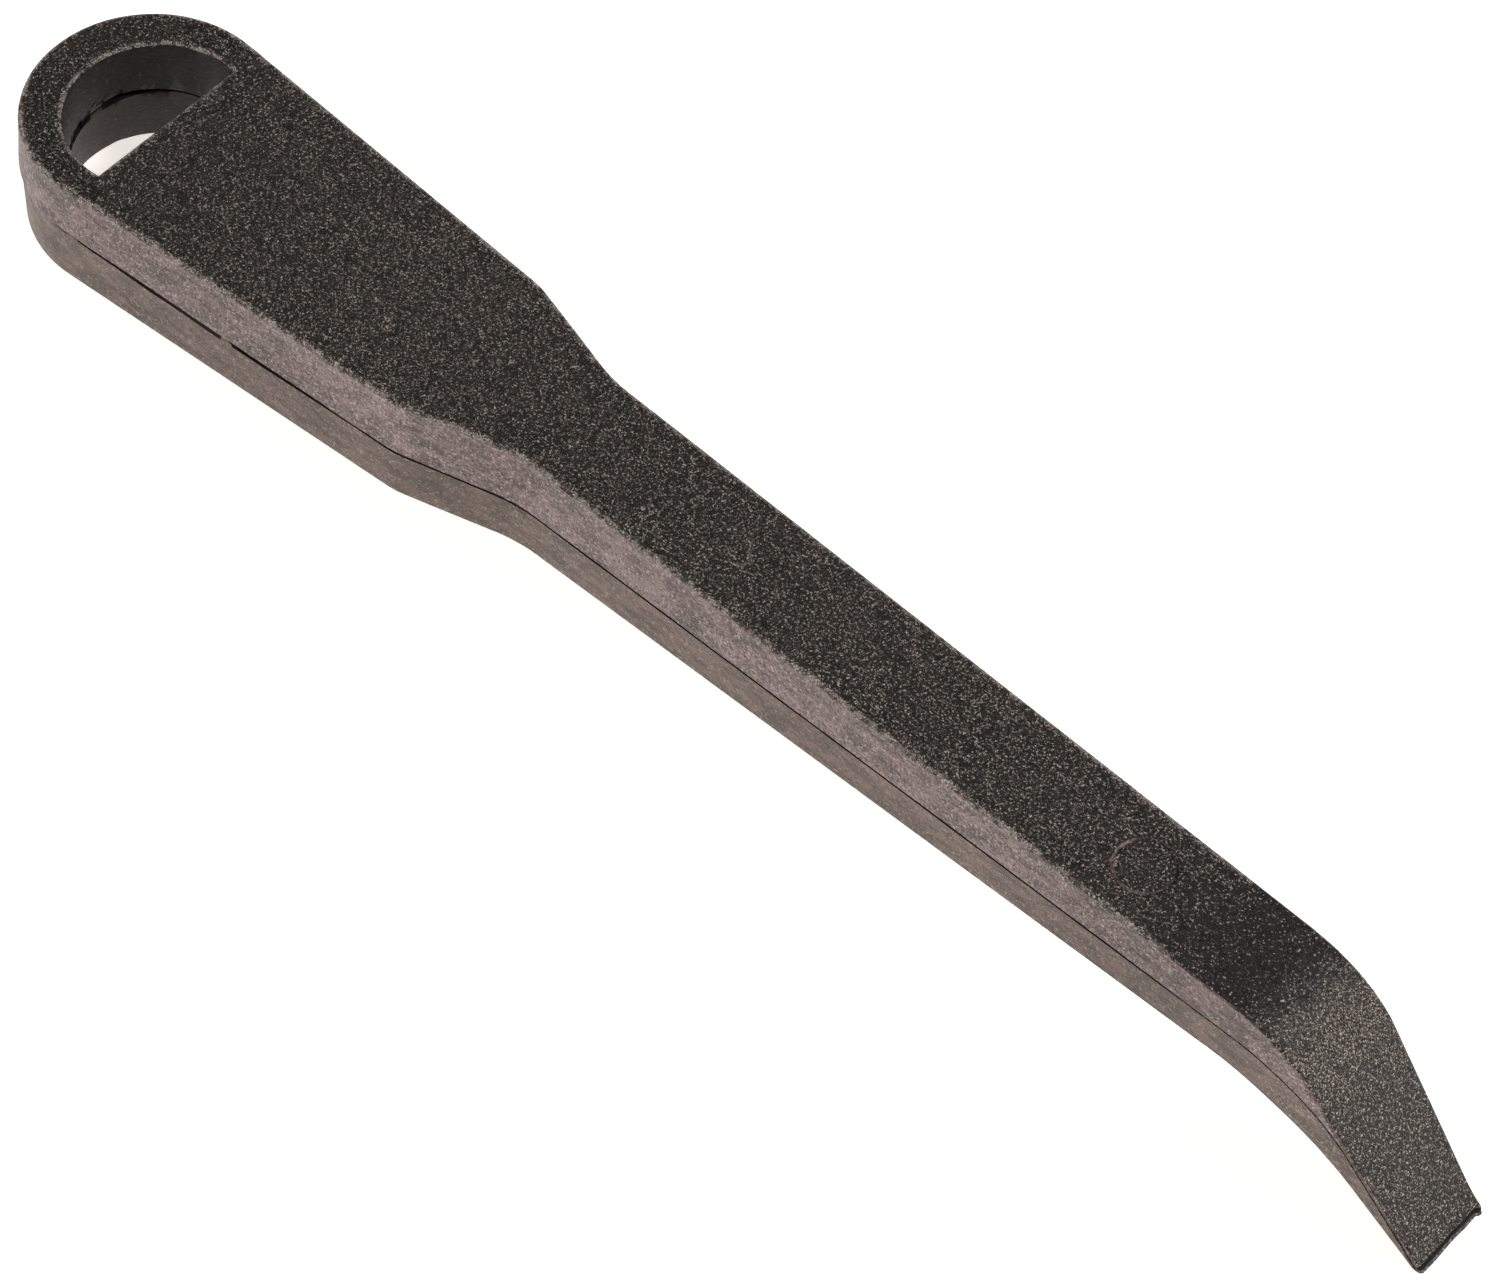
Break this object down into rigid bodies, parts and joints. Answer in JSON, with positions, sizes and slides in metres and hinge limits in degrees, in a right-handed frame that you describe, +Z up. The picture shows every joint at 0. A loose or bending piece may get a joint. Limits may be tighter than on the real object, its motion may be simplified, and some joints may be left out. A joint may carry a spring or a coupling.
{
  "type": "lug wrench",
  "caption": "Moulded black plastic tyre-kit lever: round head with a D-shaped eye, wide grip, slim arm and a wedge pry tip bent down; two cored half shells bonded along a flat joint.",
  "frame": {"origin": "centre of the footprint at bench level, with the lever lying on its head's lower rim and the end of its tip", "axes": "+X along the arm from the head to the tip, +Y across, +Z up, square to the bench"},
  "size_m": [0.2344, 0.034, 0.0267],
  "materials": {
    "black_plastic": "spark-eroded grain, semi-matt black glass-filled nylon",
    "bond": "matt black bond line between the halves"
  },
  "bodies": {
    "root": {"upper_half": "black_plastic", "lower_half": "black_plastic", "seam_bond": "bond"}
  },
  "joints": []
}
